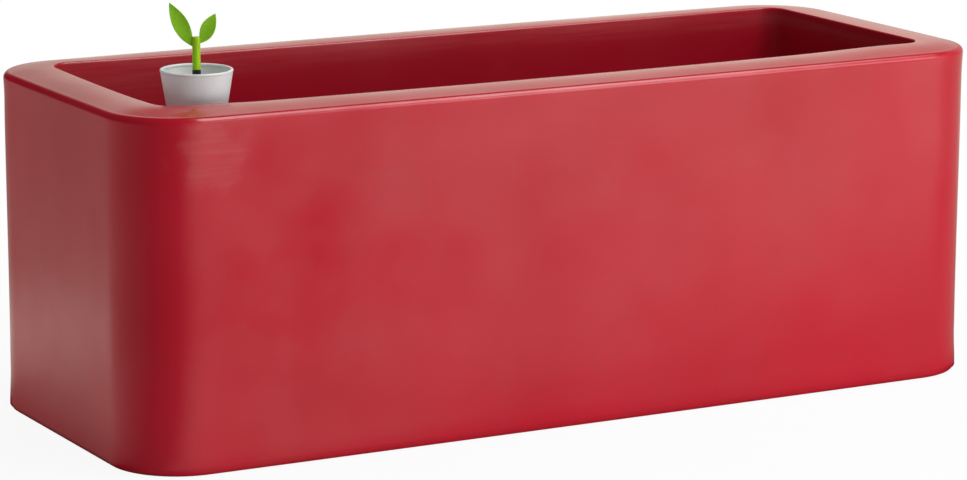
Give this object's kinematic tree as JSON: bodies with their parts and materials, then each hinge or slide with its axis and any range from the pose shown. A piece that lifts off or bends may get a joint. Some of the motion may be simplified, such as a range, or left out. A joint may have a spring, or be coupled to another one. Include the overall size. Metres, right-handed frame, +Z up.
{
  "type": "self-watering trough planter",
  "caption": "Rectangular double-walled planter trough with a broad rim, a raised soil floor over a water reservoir, and a corner filling pot whose sprout on a float rod shows the water level.",
  "frame": {"origin": "on the ground under the middle of the trough", "axes": "+X along the trough's length, -Y towards its front, +Z up"},
  "size_m": [0.8, 0.316, 0.3611],
  "materials": {
    "trough_red": "satin, softly mottled",
    "separator_black": "satin",
    "leg_grey": "satin",
    "cup_grey": "satin",
    "pipe_grey": "satin",
    "plug_black": "satin",
    "gasket_rubber": "matt",
    "pot_grey": "satin",
    "tube_grey": "satin",
    "bush_white": "satin",
    "float_foam": "closed foam, matt",
    "rod_black": "satin",
    "stem_green": "satin gloss",
    "leaf_green": "satin gloss"
  },
  "bodies": {
    "planter": {"planter_shell": "trough_red", "vent_plug": "plug_black", "overflow_pipe": "pipe_grey", "overflow_gasket": "gasket_rubber"},
    "drain_plug": {"drain_plug": "plug_black", "drain_gasket": "gasket_rubber"},
    "separator_left": {"separator_left": "separator_black", "leg_left_1": "leg_grey", "leg_left_2": "leg_grey", "leg_left_3": "leg_grey", "leg_left_4": "leg_grey", "wick_cup_left_1": "cup_grey", "wick_cup_left_2": "cup_grey"},
    "separator_right": {"separator_right": "separator_black", "leg_right_1": "leg_grey", "leg_right_2": "leg_grey", "leg_right_3": "leg_grey", "leg_right_4": "leg_grey", "wick_cup_right_1": "cup_grey", "wick_cup_right_2": "cup_grey"},
    "gauge": {"gauge_foot": "tube_grey", "gauge_tube": "tube_grey", "gauge_pot": "pot_grey", "guide_bush": "bush_white"},
    "float": {"float": "float_foam", "float_clip": "plug_black", "rod_stop": "plug_black", "float_rod": "rod_black", "sprout_stem": "stem_green", "leaf_large": "leaf_green", "leaf_small": "leaf_green"}
  },
  "joints": [
    {"name": "drain_plug_pull", "type": "slide", "parent": "planter", "child": "drain_plug", "axis": [0, 0, -1], "range_m": [0, 0.03]},
    {"name": "separator_left_lift", "type": "slide", "parent": "planter", "child": "separator_left", "axis": [0, 0, 1], "range_m": [0, 0.26]},
    {"name": "separator_right_lift", "type": "slide", "parent": "planter", "child": "separator_right", "axis": [0, 0, 1], "range_m": [0, 0.26]},
    {"name": "gauge_lift", "type": "slide", "parent": "separator_left", "child": "gauge", "axis": [0, 0, 1], "range_m": [0, 0.12]},
    {"name": "float_rise", "type": "slide", "parent": "gauge", "child": "float", "axis": [0, 0, 1], "range_m": [0, 0.045]}
  ]
}
